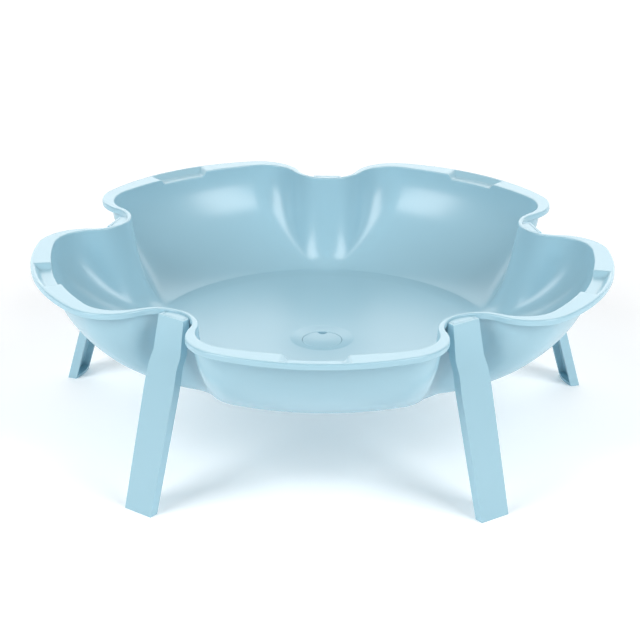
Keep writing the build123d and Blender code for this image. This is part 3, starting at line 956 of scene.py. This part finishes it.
class OBJECT_OT_make_seal(TubOperator, bpy.types.Operator):
    """Make the seal in the plug's groove"""

    bl_idname = "object.make_seal"
    bl_label = "Plug seal"

    def execute(self, context):
        outer = (SEAL_BOX[1][0] - SEAL_BOX[0][0]) / 2
        low, high = SEAL_BOX[0][2], SEAL_BOX[1][2]
        inner = outer - context.scene.tub_drain.seal_section
        edge = (high - low) / 4
        section = quarter((outer - edge, high - edge), edge, 0.0, 5)
        section += quarter((inner + edge, high - edge), edge, pi / 2, 5)
        section += quarter((inner + edge, low + edge), edge, pi, 5)
        section += quarter((outer - edge, low + edge), edge, -pi / 2, 5)
        section = np.array(section)
        bearings = np.linspace(0.0, 2 * pi, 160, endpoint=False)
        x = section[:, :1] * np.cos(bearings)
        y = section[:, :1] * np.sin(bearings)
        z = section[:, 1:] + np.zeros_like(x)
        mesh = closed_grid_mesh("plug_seal_ring", np.stack([x, y, z], axis=-1) + HUB)
        piece = place("plug_seal_ring", mesh, "plug", "seal_rubber", material("grey_silicone"), "plug_seal")
        even_shading(piece)
        return {"FINISHED"}


class OBJECT_OT_make_studio(TubOperator, bpy.types.Operator):
    """Set up the pale floor, the soft lights and the camera"""

    bl_idname = "object.make_studio"
    bl_label = "Studio"

    def execute(self, context):
        scene = context.scene
        studio = scene.tub_studio
        self.make_floor(studio)
        self.make_camera(scene.tub_view)
        for name, side in (("left_softbox", -1.0), ("right_softbox", 1.0)):
            across = side * studio.softbox_reach * np.sin(studio.softbox_turn)
            along = studio.softbox_behind - studio.softbox_reach * np.cos(studio.softbox_turn)
            self.make_light(name, (across, along, studio.softbox_height), (0.0, 0.0, studio.softbox_aim),
                            (studio.softbox_width, studio.softbox_length), studio.softbox_power)
        self.make_light("back_panel", (0.0, studio.panel_behind, studio.panel_height),
                        (0.0, 0.0, studio.panel_height), (studio.panel_width, studio.panel_length),
                        studio.panel_power)
        world = bpy.data.worlds.new("white_room")
        world.use_nodes = True
        background = world.node_tree.nodes["Background"]
        background.inputs["Color"].default_value = (*studio.room, 1.0)
        background.inputs["Strength"].default_value = studio.room_strength
        scene.world = world
        scene.view_settings.view_transform = "Standard"
        return {"FINISHED"}

    def make_floor(self, studio):
        """Studio paper: a flat floor that turns up behind in a quarter circle and goes straight up."""
        bend, radius = studio.paper_bend, studio.paper_radius
        flat = np.linspace(-studio.paper_front, bend, 9)
        angle = np.linspace(0.0, pi / 2, 25)[1:]
        y = np.concatenate([flat, bend + radius * np.sin(angle), [bend + radius]])
        z = np.concatenate([np.zeros_like(flat), radius * (1 - np.cos(angle)), [studio.paper_height]])
        x = np.linspace(-studio.paper_half_width, studio.paper_half_width, 13)
        grid = np.stack(np.broadcast_arrays(x[None, :], y[:, None], z[:, None]), axis=-1)
        index = np.arange(grid.size // 3).reshape(grid.shape[:2])
        quads = np.stack([index[:-1, :-1], index[:-1, 1:], index[1:, 1:], index[1:, :-1]], axis=-1)
        mesh = bpy.data.meshes.new("studio_paper")
        mesh.from_pydata(grid.reshape(-1, 3), [], quads.reshape(-1, 4))
        mesh.shade_smooth()
        mesh.materials.append(material("paper_backdrop"))
        paper = bpy.data.objects.new("studio_paper", mesh)
        bpy.context.scene.collection.objects.link(paper)

    def make_camera(self, view):
        """A camera on a sphere round the point that it looks at."""
        aim = Vector((view.aim_side, 0.0, view.aim_height))
        turn = Euler((pi / 2 - view.elevation, 0.0, view.azimuth)).to_matrix()
        data = bpy.data.cameras.new("studio_camera")
        data.lens = view.lens
        data.sensor_width = 36.0
        data.clip_end = 50.0
        camera = bpy.data.objects.new("studio_camera", data)
        roll = Matrix.Rotation(view.roll, 3, "Z")
        stand = Matrix.Translation(aim + turn @ Vector((0, 0, view.distance)))
        camera.matrix_world = stand @ (turn @ roll).to_4x4()
        bpy.context.scene.collection.objects.link(camera)
        bpy.context.scene.camera = camera

    def make_light(self, name, where, aim, size, power):
        """A soft rectangular light that stands at one point and faces another."""
        data = bpy.data.lights.new(name, "AREA")
        data.shape = "RECTANGLE"
        data.size, data.size_y = size
        data.energy = power
        light = bpy.data.objects.new(name, data)
        light.location = where
        light.rotation_euler = (Vector(aim) - Vector(where)).to_track_quat("-Z", "Y").to_euler()
        bpy.context.scene.collection.objects.link(light)


# ---------------------------------------------------------------- panel and registration


class VIEW3D_PT_pet_bathtub(bpy.types.Panel):
    """The bathtub's pieces and sizes"""

    bl_label = "Pet bathtub"
    bl_space_type = "VIEW_3D"
    bl_region_type = "UI"
    bl_category = "Bathtub"

    def draw(self, context):
        scene = context.scene
        for operator in OPERATORS:
            self.layout.operator(operator.bl_idname)
        for group in SETTINGS:
            box = self.layout.box()
            box.label(text=group.replace("tub_", "").capitalize())
            for name in SETTINGS[group].__annotations__:
                box.prop(getattr(scene, group), name)


SETTINGS = {
    "tub_rim": RimSizes,
    "tub_basin": BasinSizes,
    "tub_drain": DrainSizes,
    "tub_leg": LegSizes,
    "tub_finishes": Finishes,
    "tub_view": StudioView,
    "tub_studio": Studio,
}
OPERATORS = (
    OBJECT_OT_make_studio,
    OBJECT_OT_make_tub,
    OBJECT_OT_make_tenons,
    OBJECT_OT_make_legs,
    OBJECT_OT_make_plug,
    OBJECT_OT_make_seal,
)


def register():
    for group, settings in SETTINGS.items():
        bpy.utils.register_class(settings)
        setattr(bpy.types.Scene, group, bpy.props.PointerProperty(type=settings))
    for operator in OPERATORS:
        bpy.utils.register_class(operator)
    bpy.utils.register_class(VIEW3D_PT_pet_bathtub)


def unregister():
    bpy.utils.unregister_class(VIEW3D_PT_pet_bathtub)
    for operator in reversed(OPERATORS):
        bpy.utils.unregister_class(operator)
    for group in reversed(SETTINGS):
        delattr(bpy.types.Scene, group)
        bpy.utils.unregister_class(SETTINGS[group])


def main():
    register()
    bpy.ops.object.make_studio()
    bpy.ops.object.make_tub()
    bpy.ops.object.make_tenons()
    bpy.ops.object.make_legs()
    bpy.ops.object.make_plug()
    bpy.ops.object.make_seal()


if __name__ == "__main__":
    main()
